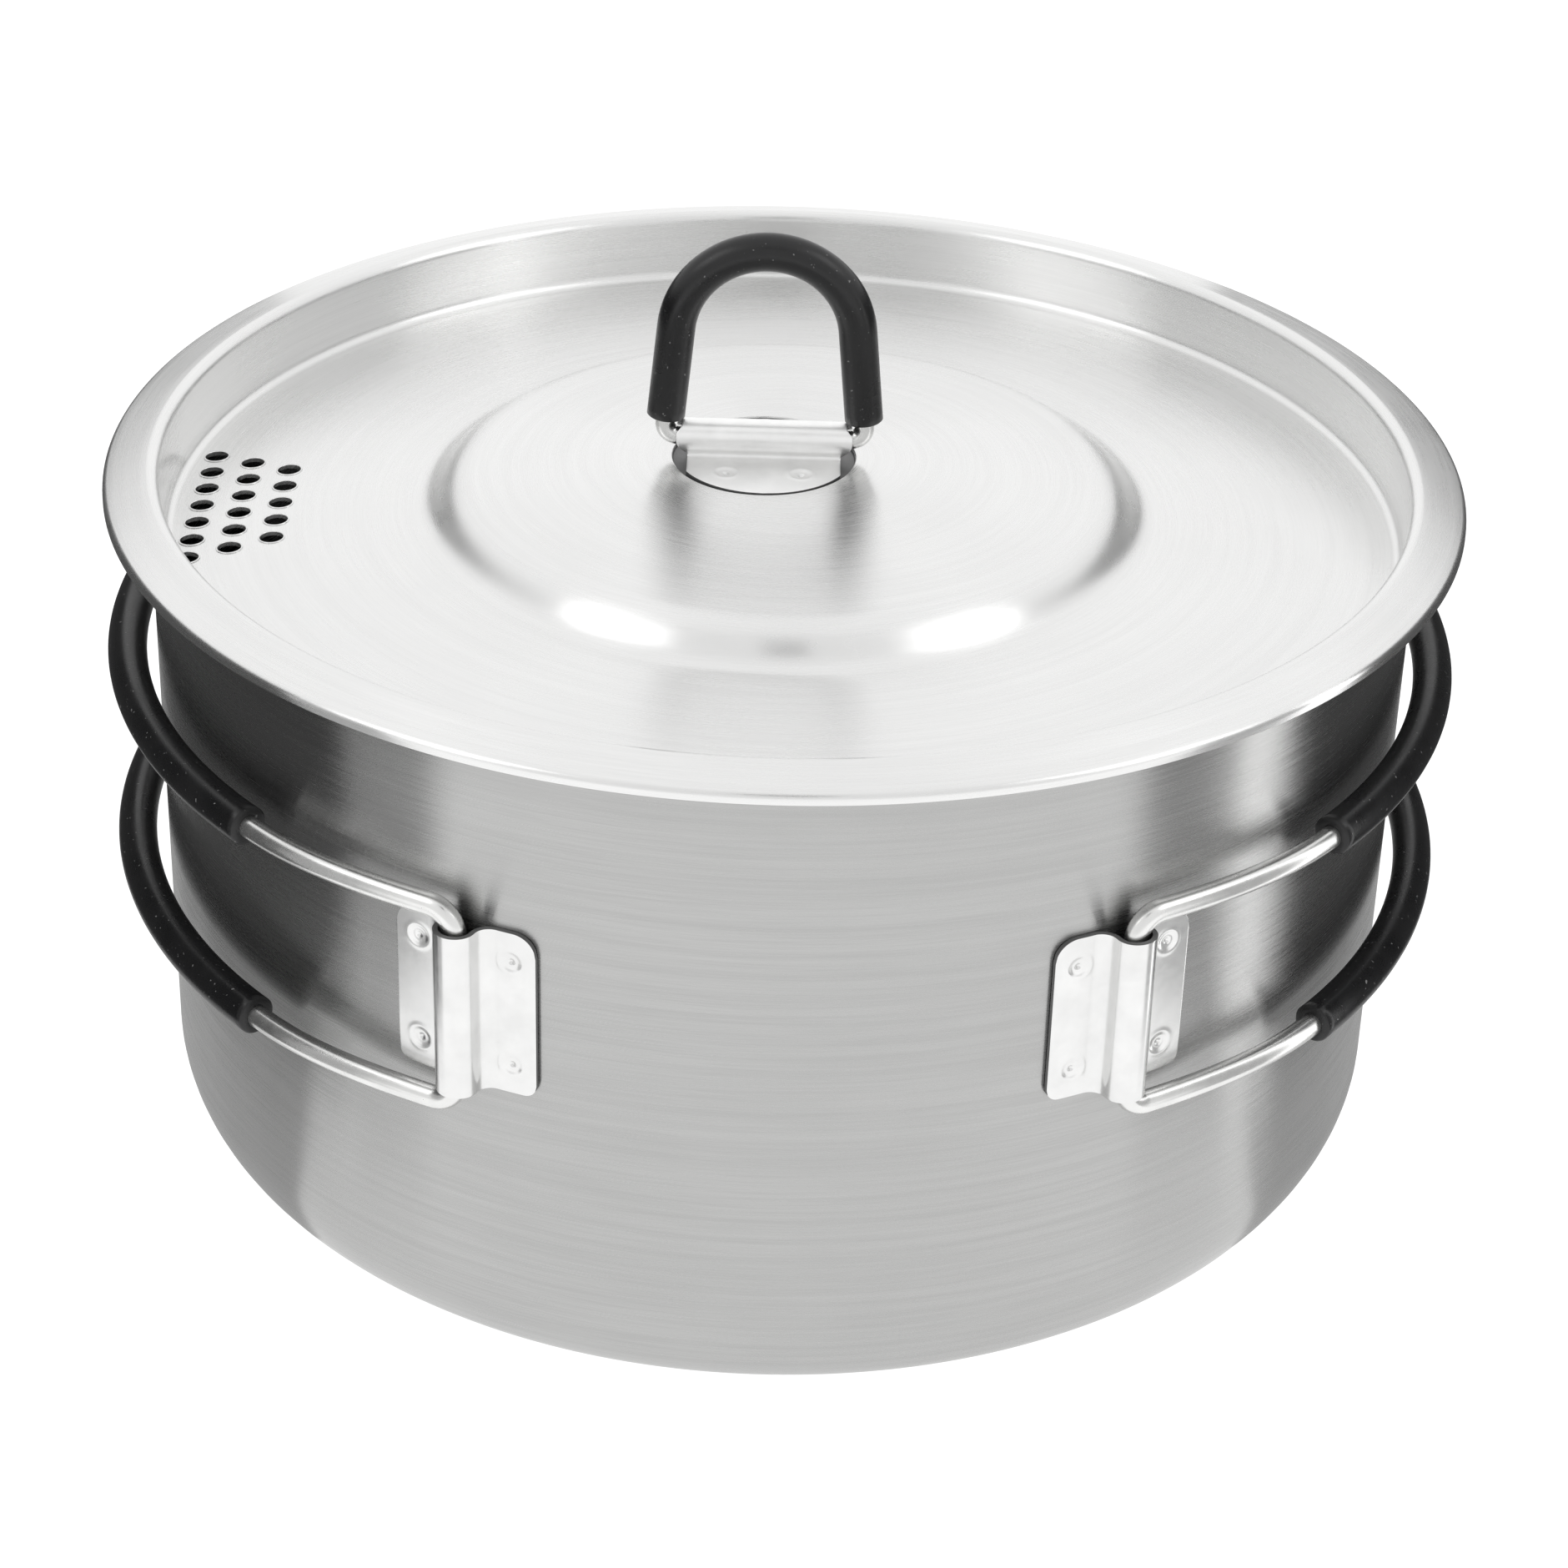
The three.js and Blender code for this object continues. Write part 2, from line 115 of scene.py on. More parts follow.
HOLE_OFFSET = -2.7

# ---- Sizes of the hinge brackets ----
HINGE = joint_place("right_handle_swing")
HINGE_RADIUS = Vector((HINGE.x, HINGE.y)).length
HINGE_ANGLE = math.atan2(HINGE.x, -HINGE.y)
HINGE_HEIGHT = HINGE.z
BRACKET_HEIGHT = 27.6
BRACKET_WIDTH = 23.2
BRACKET_SHEET = 0.8
BRACKET_FILLET = 2.2
BRACKET_TOP_CORNER = 3.6
BRACKET_LOW_CORNER = 2.0
SHEET_STEP = 0.22
BRACKET_ROWS = 132
CUT_ROUND = 0.14
BARREL_RADIUS = 3.15
WELD_PLACES = ((-7.7, 8.9), (-7.7, -8.9), (7.7, 8.9), (7.7, -8.9))
WELD_RADIUS = 1.9
WELD_DEPTH = 0.2
WELD_PIT_RADIUS = 0.65
WELD_PIT_DEPTH = 0.45
WELD_REACH = 3.04
WELD_RIDGE_RADIUS = 2.0
WELD_RIDGE_WIDTH = 0.4
WELD_RIDGE_HEIGHT = 0.06
SEAT_GAP = 0.15

# ---- Sizes of the handles ----
WIRE_RADIUS = 1.75
WIRE_END_ROUND = 0.3
WIRE_SIDES = 32
GRIP_RADIUS = 3.1
GRIP_EDGE = 0.25
GRIP_FIT = 0.03
GRIP_SIDES = 40
ARM_CLEARANCE = 2.9
ARM_RADIUS = 105.5
ARM_EASE = 36.0
HANDLE_REACH = math.radians(116)
HANDLE_CORNER = 13.0
GRIP_START = math.radians(50)
WIRE_BEND = 4.2
PIN_GAP = 3.0

# ---- Sizes of the ring and its bracket ----
RING_PIVOT = joint_place("lid_ring_fold").z
RING_WIRE = 1.55
RING_GRIP = 3.05
RING_HEIGHT = 31.6
RING_FLARE = math.radians(5.5)
RING_BEND = 2.0
RING_PIN = 9.0
RING_SIDE_GAP = 0.3
RING_GRIP_GAP = 0.25
LID_BARREL_HALF = 13.95
LID_BARREL_RADIUS = 2.8
LID_FLANGE_HALF = 12.2
LID_FLANGE_GAP = 0.3
LID_NOTCH = 0.8
LID_NOTCH_RISE = 1.2
LID_BRACKET_ROWS = 120
LID_FILLET = 0.45
LID_WELDS = ((-5.95, -6.6), (5.95, -6.6), (-5.95, 6.6), (5.95, 6.6))

# ---- Turns in degrees above which an edge is shaded sharp ----
SHARP_TURNED = 35
SHARP_SHEET = 50
SHARP_SWEPT = 60

# ---- How many times longer than wide a brush mark is ----
GRAIN_STRETCH = 60.0

# ---- Studio ----
WORLD_FRONT = 0.92
WORLD_BACK = 1.12
WORLD_SPREAD = 0.9
FLOOR_SIZE = 6.0
FLOOR_GLOW = 0.97
BOX_SIZE = 0.6
BOX_AIM = (0, 0, 0.1)
CARD_SIDE = 0.155
CARD_BACK = 0.45
CARD_HEIGHT = 0.16
CARD_PAINT = (0.003, 0.003, 0.003)

# ---- Camera ----
CAMERA_AIM = (0, 0, 0.1134)
CAMERA_DISTANCE = 0.6762
CAMERA_RISE = math.radians(25.32)
CAMERA_TURN = math.radians(-2.15)
CAMERA_PAN = math.radians(0.10)
CAMERA_TILT = math.radians(-4.35)
CAMERA_ROLL = math.radians(1.62)
CAMERA_SENSOR = 36.0
CAMERA_LENS = 96.88


# ---- Mesh helpers ----

def make_piece(name, points, faces, body, node, slot_name, material, sharp=SHARP_TURNED):
    """A smooth mesh from points in millimetres. It rides on a body and may stand for a CAD node."""
    mesh = bpy.data.meshes.new(name)
    mesh.from_pydata([Vector(p) * MM for p in points], [], faces)
    piece = bpy.data.objects.new(name, mesh)
    bpy.context.scene.collection.objects.link(piece)
    clean = bmesh.new()
    clean.from_mesh(mesh)
    bmesh.ops.remove_doubles(clean, verts=clean.verts, dist=MERGE_GAP * MM)
    bmesh.ops.recalc_face_normals(clean, faces=clean.faces)
    clean.to_mesh(mesh)
    clean.free()
    for face in mesh.polygons:
        face.use_smooth = True
    mesh.set_sharp_from_angle(angle=math.radians(sharp))
    mesh.materials.append(material)
    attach(piece, body)
    if node:
        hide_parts(node)
    return piece


def apply_modifiers(piece):
    """Bakes a piece's modifiers into its mesh."""
    shaped = piece.evaluated_get(bpy.context.evaluated_depsgraph_get())
    baked = bpy.data.meshes.new_from_object(shaped)
    piece.modifiers.clear()
    piece.data = baked


def arc_points(x, y, radius, start, end, steps):
    """Points of an arc. Angles in degrees, both ends included."""
    points = []
    for i in range(steps + 1):
        angle = math.radians(start + (end - start) * i / steps)
        points.append((x + radius * math.cos(angle), y + radius * math.sin(angle)))
    return points


def line_points(start, end, steps):
    """Points of a straight stretch without its two ends."""
    (x0, y0), (x1, y1) = start, end
    return [(x0 + (x1 - x0) * i / steps, y0 + (y1 - y0) * i / steps) for i in range(1, steps)]


def turned_faces(rings, steps, first=0):
    """Quads between a number of rings, each of this many points and closed on itself."""
    faces = []
    for k in range(rings - 1):
        for i in range(steps):
            a = first + k * steps + i
            b = first + k * steps + (i + 1) % steps
            faces.append((a, b, b + steps, a + steps))
    return faces


def turned(profile, steps=ROUND_STEPS):
    """Points and faces of a closed turned shape. Profile points are (radius, height)."""
    points, faces, rings = [], [], []
    for radius, height in profile:
        if radius < 1e-6:
            rings.append([len(points)] * steps)
            points.append((0, 0, height))
            continue
        rings.append(list(range(len(points), len(points) + steps)))
        for i in range(steps):
            angle = 2 * math.pi * i / steps
            points.append((radius * math.cos(angle), radius * math.sin(angle), height))
    for low, high in zip(rings, rings[1:]):
        for i in range(steps):
            k = (i + 1) % steps
            corners = dict.fromkeys((low[i], low[k], high[k], high[i]))
            faces.append(tuple(corners))
    return points, faces


def smoothstep(value):
    """A soft step from 0 to 1 as the value goes from 0 to 1."""
    value = min(1.0, max(0.0, value))
    return value * value * (3 - 2 * value)


# ---- Materials ----

class Nodes:
    """Short calls for building one material's node tree."""

    def __init__(self, name):
        self.material = bpy.data.materials.new(name)
        self.material.use_nodes = True
        self.tree = self.material.node_tree
        self.shader = self.tree.nodes["Principled BSDF"]

    def add(self, kind, **settings):
        """A node of this kind with these properties."""
        node = self.tree.nodes.new(kind)
        for key, value in settings.items():
            setattr(node, key, value)
        return node

    def link(self, source, target):
        self.tree.links.new(source, target)

    def math(self, operation, first, second=None):
        """Arithmetic on sockets or plain numbers."""
        node = self.add("ShaderNodeMath", operation=operation)
        for socket, value in zip(node.inputs, (first, second)):
            if value is None:
                continue
            if isinstance(value, (int, float)):
                socket.default_value = value
            else:
                self.link(value, socket)
        return node.outputs[0]

    def noise(self, vector, scale, detail, roughness=0.6):
        """Cloudy noise from 0 to 1."""
        node = self.add("ShaderNodeTexNoise")
        node.inputs["Scale"].default_value = scale
        node.inputs["Detail"].default_value = detail
        node.inputs["Roughness"].default_value = roughness
        self.link(vector, node.inputs["Vector"])
        return node.outputs["Fac"]

    def spread(self, value, low, high, start=0.3, end=0.7):
        """Maps the start-to-end part of a noise value to low-to-high."""
        node = self.add("ShaderNodeMapRange")
        node.inputs["From Min"].default_value = start
        node.inputs["From Max"].default_value = end
        node.inputs["To Min"].default_value = low
        node.inputs["To Max"].default_value = high
        self.link(value, node.inputs["Value"])
        return node.outputs["Result"]

    def mix(self, value, first, second):
        """A colour between two others. The first may be a socket."""
        node = self.add("ShaderNodeMix", data_type="RGBA")
        if isinstance(first, tuple):
            node.inputs["A"].default_value = (*first, 1)
        else:
            self.link(first, node.inputs["A"])
        node.inputs["B"].default_value = (*second, 1)
        self.link(value, node.inputs["Factor"])
        return node.outputs["Result"]

    def bump(self, height, strength, distance):
        """Fine relief on the surface, this many metres deep."""
        node = self.add("ShaderNodeBump")
        node.inputs["Strength"].default_value = strength
        node.inputs["Distance"].default_value = distance
        self.link(height, node.inputs["Height"])
        self.link(node.outputs["Normal"], self.shader.inputs["Normal"])

    def drive(self, name, socket):
        """Feeds one of the shader's inputs."""
        self.link(socket, self.shader.inputs[name])

    def set(self, **values):
        """Constants for the shader's inputs, with _ for each space in a name."""
        for key, value in values.items():
            self.shader.inputs[key.replace("_", " ")].default_value = value


def grain_vector(nodes, direction):
    """Plain coordinates, and ones that stretch noise into marks that run level or in circles."""
    place = nodes.add("ShaderNodeTexCoord").outputs["Object"]
    split = nodes.add("ShaderNodeSeparateXYZ")
    nodes.link(place, split.inputs[0])
    x, y, z = split.outputs
    across = z
    if direction == "circles":
        squares = nodes.math("ADD", nodes.math("MULTIPLY", x, x), nodes.math("MULTIPLY", y, y))
        across = nodes.math("ADD", nodes.math("SQRT", squares), z)
    joined = nodes.add("ShaderNodeCombineXYZ")
    nodes.link(nodes.math("MULTIPLY", across, GRAIN_STRETCH), joined.inputs[0])
    nodes.link(y, joined.inputs[1])
    nodes.link(x, joined.inputs[2])
    return place, joined.outputs[0]


def brushed_steel(name, direction, light, roughness, anisotropy, grain):
    """Brushed stainless steel with fine marks, a few long scratches and cloudy wear."""
    nodes = Nodes(name)
    place, marks = grain_vector(nodes, direction)
    fine = nodes.noise(marks, scale=60.0, detail=4.0, roughness=0.7)
    long_marks = nodes.noise(marks, scale=14.0, detail=3.0, roughness=0.55)
    clouds = nodes.noise(place, scale=26.0, detail=4.0)
    tone = nodes.math("ADD", nodes.math("MULTIPLY", fine, 0.6), nodes.math("MULTIPLY", long_marks, 0.4))
    dark = tuple(c * (1 - 0.1 * grain) for c in light)
    nodes.drive("Base Color", nodes.mix(nodes.spread(tone, 0, 1, 0.4, 0.6), dark, light))
    rough = nodes.math(
        "ADD",
        nodes.spread(fine, roughness - 0.04 * grain, roughness + 0.05 * grain),
        nodes.spread(clouds, -0.025, 0.03),
    )
    nodes.drive("Roughness", rough)
    nodes.bump(tone, strength=0.22 * grain, distance=0.00006)
    nodes.set(Metallic=1.0, Anisotropic=anisotropy, Anisotropic_Rotation=0.25)
    tangent = nodes.add("ShaderNodeTangent", direction_type="RADIAL", axis="Z")
    nodes.drive("Tangent", tangent.outputs[0])
    return nodes.material


def polished_steel(name, light, roughness):
    """Smooth steel with faint draw marks and small handling marks."""
    nodes = Nodes(name)
    place = nodes.add("ShaderNodeTexCoord").outputs["Object"]
    clouds = nodes.noise(place, scale=160.0, detail=5.0)
    marks = nodes.noise(place, scale=700.0, detail=2.0, roughness=0.5)
    dark = tuple(c * 0.9 for c in light)
    nodes.drive("Base Color", nodes.mix(nodes.spread(clouds, 0, 1), dark, light))
    nodes.drive("Roughness", nodes.spread(marks, roughness - 0.015, roughness + 0.03))
    relief = nodes.math("ADD", marks, nodes.math("MULTIPLY", clouds, 2.0))
    nodes.bump(relief, strength=0.04, distance=0.00003)
    nodes.set(Metallic=1.0)
    return nodes.material


def black_sleeve(name):
    """Black vinyl sleeve: satin, faintly pebbled, with light specks of dust and wear."""
    nodes = Nodes(name)
    place = nodes.add("ShaderNodeTexCoord").outputs["Object"]
    pebbles = nodes.noise(place, scale=2600.0, detail=3.0)
    clouds = nodes.noise(place, scale=120.0, detail=4.0)
    dust = nodes.noise(place, scale=1500.0, detail=2.0, roughness=0.5)
    shade = nodes.mix(nodes.spread(clouds, 0, 1), (0.004, 0.004, 0.0045), (0.009, 0.009, 0.0095))
    specks = nodes.spread(dust, 0, 1, 0.7, 0.74)
    nodes.drive("Base Color", nodes.mix(specks, shade, (0.16, 0.16, 0.16)))
    nodes.drive("Roughness", nodes.spread(clouds, 0.24, 0.34))
    nodes.bump(pebbles, strength=0.25, distance=0.00008)
    nodes.set(IOR=1.5, Specular_IOR_Level=0.42)
    return nodes.material


# The pot's steel is given a darker colour than the lid's, the brackets' and the wire's (0.465 against
# 0.8): painted shade that darkens the wall below the steel's own colour. Its brush marks are its own.
POT_STEEL_PAINTED_DARKER = brushed_steel("pot_steel", "level", (0.465, 0.465, 0.46), 0.25, 0.93, 1.0)
LID_STEEL = brushed_steel("lid_steel", "circles", (0.8, 0.8, 0.795), 0.27, 0.9, 0.5)
BRACKET_STEEL = polished_steel("bracket_steel", (0.8, 0.8, 0.795), 0.22)
# The lid's bracket is the brackets' polished steel painted lighter (0.95 against 0.8): painted light
# for the bright flange in the well.
LID_BRACKET_STEEL_LIT = polished_steel("lid_bracket_steel_painted_light", (0.95, 0.95, 0.945), 0.36)
# Dark steel for the sheets' cut edges, partly the duller cut metal and partly painted shade along the
# edges, and painted shade on the well's floor under the lid's bracket.
CUT_EDGE_AND_SHADE = polished_steel("cut_edge_and_painted_shade", (0.22, 0.22, 0.22), 0.5)
WIRE_STEEL = polished_steel("wire_steel", (0.8, 0.8, 0.79), 0.25)
SLEEVE = black_sleeve("grip_sleeve")


# ---- Pot ----

def wall_at(height):
    """Outside radius of the wall at a height. It opens slightly towards the rim."""
    return WALL_RADIUS - WALL_DRAFT * (1 - height / POT_TOP)


def build_pot():
    """Drawn pot: flat bottom, rounded corner, brushed wall and a rolled rim."""
    corner = wall_at(POT_CORNER) - POT_CORNER
    bead_x = WALL_RADIUS - SHEET + BEAD_RADIUS
    bead_z = POT_TOP - BEAD_RADIUS
    meet = 180 + math.degrees(math.acos((bead_x - WALL_RADIUS) / BEAD_RADIUS))
    low_wall = (wall_at(POT_CORNER), POT_CORNER)
    high_wall = (WALL_RADIUS, bead_z - BEAD_RADIUS * math.sin(math.radians(meet - 180)))
    inner = POT_CORNER - SHEET
    profile = [(0, 0), (BOTTOM_RING, 0)]
    profile += arc_points(corner, POT_CORNER, POT_CORNER, -90, 0, 16)
    profile += line_points(low_wall, high_wall, 30)
    profile += arc_points(bead_x, bead_z, BEAD_RADIUS, meet, 540, 20)
    profile += line_points((high_wall[0] - SHEET, high_wall[1]), (low_wall[0] - SHEET, POT_CORNER), 30)
    profile += arc_points(corner, POT_CORNER, inner, 0, -90, 12)
    profile += [(BOTTOM_RING, SHEET), (0, SHEET)]
    points, faces = turned(profile)
    make_piece("pot_body", points, faces, "pot", "pot_shell", "pot_steel", POT_STEEL_PAINTED_DARKER)


# ---- Brackets: one sheet bent into a barrel with a flange each side ----

def weld_dent(x, y, welds):
    """Depth of the spot welds at a place on a flange. Each is a dish with a pit and a raised edge."""
    depth = 0
    for weld_x, weld_y in welds:
        distance = math.hypot(x - weld_x, y - weld_y)
        if distance < WELD_REACH:
            ridge = math.exp(-(((distance - WELD_RIDGE_RADIUS) / WELD_RIDGE_WIDTH) ** 2))
            dish = 1 - smoothstep((distance - 0.5 * WELD_RADIUS) / (0.5 * WELD_RADIUS))
            pit = 1 - smoothstep(distance / WELD_PIT_RADIUS)
            depth += WELD_DEPTH * dish + WELD_PIT_DEPTH * pit - WELD_RIDGE_HEIGHT * ridge
    return depth


def barrel_section(barrel_radius, pivot, flange_top, reach, fillet):
    """Outer face of a bracket's section as (along, out) points, from one flange edge to the other.

    The barrel curls in under itself as far as it can before the hollow round turns it out again.
    """
    drop = max(0.0, pivot - flange_top - fillet)
    tuck = math.degrees(math.asin(min(1.0, drop / (barrel_radius + fillet))))
    hollow = ((barrel_radius + fillet) * math.cos(math.radians(tuck)), flange_top + fillet)
    flat_steps = round((reach - hollow[0]) / SHEET_STEP)
    right = [(reach, flange_top)]
    right += line_points((reach, flange_top), (hollow[0], flange_top), flat_steps)
    right += arc_points(*hollow, fillet, -90, -180 - tuck, 12)
    left = [(-x, y) for x, y in reversed(right)]
    return right + arc_points(0, pivot, barrel_radius, -tuck, 180 + tuck, 36)[1:-1] + left


def bent_sheet(name, body, node, material, section, extent, place, rows):
    """A bracket from its section. It rides on a body and stands for a CAD node.

    extent(along, out) gives the sheet's two ends at a point of the section, and
    place(along, out, across) puts a point of the sheet on the object.
    """
    points = []
    for along, out in section:
        low, high = extent(along, out)
        for j in range(rows + 1):
            points.append(place(along, out, low + (high - low) * j / rows))
    faces = []
    for i in range(len(section) - 1):
        for j in range(rows):
            a = i * (rows + 1) + j
            faces.append((a, a + rows + 1, a + rows + 2, a + 1))
    piece = make_piece(name, points, faces, body, node, "bracket_steel", material, SHARP_SHEET)
    thick = piece.modifiers.new("thickness", "SOLIDIFY")
    thick.thickness = BRACKET_SHEET * MM
    thick.offset = -1
    thick.use_even_offset = True
    # The cut edges get the dark edge steel: partly the duller cut metal, partly painted shade for the
    # dark lines round the brackets.
    thick.material_offset_rim = 1
    piece.data.materials.append(CUT_EDGE_AND_SHADE)
    edge = piece.modifiers.new("edges", "BEVEL")
    edge.width = CUT_ROUND * MM
    edge.segments = 2
    edge.limit_method = "ANGLE"
    edge.angle_limit = math.radians(SHARP_SHEET)
    return piece


def face_outward(piece, away_from):
    """Turns a sheet's faces so that they look away from a point."""
    mesh = piece.data
    middle = mesh.polygons[len(mesh.polygons) // 2]
    if middle.normal.dot(middle.center - Vector(away_from) * MM) < 0:
        mesh.flip_normals()


def build_hinge_bracket(side, name):
    """The bracket on the wall that holds one handle's wire ends."""
    half = BRACKET_WIDTH / 2
    bracket_wall = wall_at(HINGE_HEIGHT + BRACKET_HEIGHT / 2)
    section = barrel_section(
        BARREL_RADIUS, HINGE_RADIUS - bracket_wall, SEAT_GAP + BRACKET_SHEET, half, BRACKET_FILLET)

    def extent(along, _):
        edge = half - abs(along)
        ends = []
        for corner in (BRACKET_LOW_CORNER, BRACKET_TOP_CORNER):
            inset = max(0.0, corner - edge)
            ends.append(BRACKET_HEIGHT / 2 - corner + math.sqrt(max(0.0, corner ** 2 - inset ** 2)))
        return -ends[0], ends[1]

    def place(along, out, up):
        height = HINGE_HEIGHT + up
        radius = wall_at(height) + out - weld_dent(along, up, WELD_PLACES)
        angle = side * HINGE_ANGLE + along / bracket_wall
        return radius * math.sin(angle), -radius * math.cos(angle), height

    piece = bent_sheet(
        name + "_bracket", "pot", name + "_hinge_bracket", BRACKET_STEEL,
        section, extent, place, BRACKET_ROWS)
    face_outward(piece, (0, 0, HINGE_HEIGHT))


# ---- Sweeps ----

def rounded_route(corners, spacing=1.6, turn_step=math.radians(6)):
    """Places along a flat polyline with rounded corners, each with its corner's mark.

    A corner is (x, y, radius, mark). A mark is kept on a corner that isn't rounded.
    """
    route = []

    def add(place, mark=False):
        if route:
            last = route[-1][0]
            pieces = math.ceil((place - last).length / spacing)
            for k in range(1, pieces):
                route.append((last.lerp(place, k / pieces), False))
        route.append((place, mark))

    for i, (x, y, radius, mark) in enumerate(corners):
        here = Vector((x, y))
        if not radius:
            add(here, mark)
            continue
        arriving = (here - Vector(corners[i - 1][:2])).normalized()
        leaving = (Vector(corners[i + 1][:2]) - here).normalized()
        turn = math.atan2(arriving.cross(leaving), arriving.dot(leaving))
        start = here - arriving * radius * math.tan(abs(turn) / 2)
        sideways = Vector((-arriving.y, arriving.x)) * math.copysign(radius, turn)
        centre = start + sideways
        steps = math.ceil(abs(turn) / turn_step)
        for k in range(steps + 1):
            spun = Matrix.Rotation(turn * k / steps, 2) @ (start - centre)
            add(centre + spun)
    return route


def rings_along(path, radii, sides):
    """Rings of points round a path, turned as little as possible from one to the next."""
    headings = []
    for i in range(len(path)):
        ahead, behind = path[min(i + 1, len(path) - 1)], path[max(i - 1, 0)]
        headings.append((ahead - behind).normalized())
    across = headings[0].orthogonal().normalized()
    rings = []
    for place, heading, radius in zip(path, headings, radii):
        across = (across - heading * across.dot(heading)).normalized()
        upward = heading.cross(across)
        ring = []
        for k in range(sides):
            angle = 2 * math.pi * k / sides
            ring.append(place + (across * math.cos(angle) + upward * math.sin(angle)) * radius)
        rings.append(ring)
    return rings


def broken_ends(path, radius, size):
    """A path with one more point close to each end, and radii that break the edges of both ends."""
    first = path[0] + (path[1] - path[0]).normalized() * size
    last = path[-1] + (path[-2] - path[-1]).normalized() * size
    longer = [path[0], first, *path[1:-1], last, path[-1]]
    return longer, [radius - size] + [radius] * (len(longer) - 2) + [radius - size]


def swept_bar(path, radius):
    """Points and faces of a round bar with softly broken ends."""
    path, radii = broken_ends(path, radius, WIRE_END_ROUND)
    rings = rings_along(path, radii, WIRE_SIDES)
    points = [p for ring in rings for p in ring]
    faces = turned_faces(len(rings), WIRE_SIDES)
    faces.append(tuple(range(WIRE_SIDES)))
    faces.append(tuple(range(len(points) - WIRE_SIDES, len(points))))
    return points, faces


def swept_sleeve(path, radius, bore):
    """Points and faces of a sleeve cut off square at both ends, with slightly broken rims."""
    path, radii = broken_ends(path, radius, GRIP_EDGE)
    outer = rings_along(path, radii, GRIP_SIDES)
    inner = rings_along(path, [bore] * len(path), GRIP_SIDES)
    points = [p for ring in outer + inner for p in ring]
    shell = len(outer) * GRIP_SIDES
    faces = turned_faces(len(outer), GRIP_SIDES) + turned_faces(len(inner), GRIP_SIDES, shell)
    for out_ring in (0, shell - GRIP_SIDES):
        in_ring = out_ring + shell
        for k in range(GRIP_SIDES):
            n = (k + 1) % GRIP_SIDES
            faces.append((out_ring + k, out_ring + n, in_ring + n, in_ring + k))
    return points, faces


def between_marks(route):
    """The stretch of a route between its two marked places."""
    marks = [i for i, (_, mark) in enumerate(route) if mark]
    return slice(marks[0], marks[1] + 1)


def build_wire_and_sleeve(name, body, path, covered, wire, grip):
    """A bent wire along a path, and a black sleeve over the covered stretch of it."""
    bar = swept_bar(path, wire)
    make_piece(name + "_wire", *bar, body, body + "_wire", "wire_steel", WIRE_STEEL, SHARP_SWEPT)
    tube = swept_sleeve(path[covered], grip, wire + GRIP_FIT)
    make_piece(name + "_sleeve", *tube, body, body + "_grip", "grip_sleeve", SLEEVE, SHARP_SWEPT)


# ---- Folding wire handles ----

def build_handle(side, name):
    """A wire loop that lies round the wall, with a black sleeve on all but its front ends."""
    arm_height = BRACKET_HEIGHT / 2 + ARM_CLEARANCE
    low, high = HINGE_HEIGHT - arm_height, HINGE_HEIGHT + arm_height
    grip = (GRIP_START - HINGE_ANGLE) * ARM_RADIUS
    far = (HANDLE_REACH - HINGE_ANGLE) * ARM_RADIUS
    route = rounded_route([
        (0, HINGE_HEIGHT - PIN_GAP / 2, 0, False),
        (0, low, WIRE_BEND, False),
        (grip, low, 0, True),
        (far, low, HANDLE_CORNER, False),
        (far, high, HANDLE_CORNER, False),
        (grip, high, 0, True),
        (0, high, WIRE_BEND, False),
        (0, HINGE_HEIGHT + PIN_GAP / 2, 0, False),
    ])

    def wrapped(place):
        angle = HINGE_ANGLE + place.x / ARM_RADIUS
        radius = HINGE_RADIUS + (ARM_RADIUS - HINGE_RADIUS) * smoothstep(place.x / ARM_EASE)
        return Vector((side * radius * math.sin(angle), -radius * math.cos(angle), place.y))

    path = [wrapped(place) for place, _ in route]
    build_wire_and_sleeve(name, name + "_handle", path, between_marks(route), WIRE_RADIUS, GRIP_RADIUS)


# ---- Lid ----

def crown_at(radius):
    """Height of the domed crown from the lid's crest."""
    return CROWN_RISE * (1 - (radius / SHOULDER_RADIUS) ** 2) - SHOULDER_DEPTH


def well_floor():
    """Height of the well's floor from the lid's crest."""
    return crown_at(WELL_RADIUS) - WELL_DEPTH


def panel_at(radius):
    """Height of the flat outer panel from the lid's crest. It rises slightly towards the dome."""
    foot = CREST_RADIUS - LID_ROUND - SKIRT_TAPER
    share = (foot - radius) / (foot - DOME_FOOT_RADIUS)
    return -SKIRT_DEPTH + (SKIRT_DEPTH - DOME_FOOT_DEPTH) * share


def under_flange(radius, distance):
    """Height from the crest of the place this far under the flange's upper face."""
    fall = (radius - CREST_RADIUS) * math.sin(FLANGE_SLOPE)
    return (LID_ROUND - distance - fall) / math.cos(FLANGE_SLOPE) - LID_ROUND


def dome_curve():
    """The dome's side, an S between the crown and the panel."""
    start = Vector((DOME_START, crown_at(DOME_START)))
    end = Vector((DOME_END, panel_at(DOME_END)))
    crown_slope = -2 * CROWN_RISE * DOME_START / SHOULDER_RADIUS ** 2
    panel_slope = panel_at(1) - panel_at(0)
    leave = start + Vector((1, crown_slope)).normalized() * DOME_LEAVE
    arrive = end - Vector((1, panel_slope)).normalized() * DOME_ARRIVE
    curve = []
    for i in range(DOME_STEPS + 1):
        t = i / DOME_STEPS
        a = start.lerp(leave, t)
        b = leave.lerp(arrive, t)
        c = arrive.lerp(end, t)
        point = a.lerp(b, t).lerp(b.lerp(c, t), t)
        curve.append((point.x, point.y))
    return curve


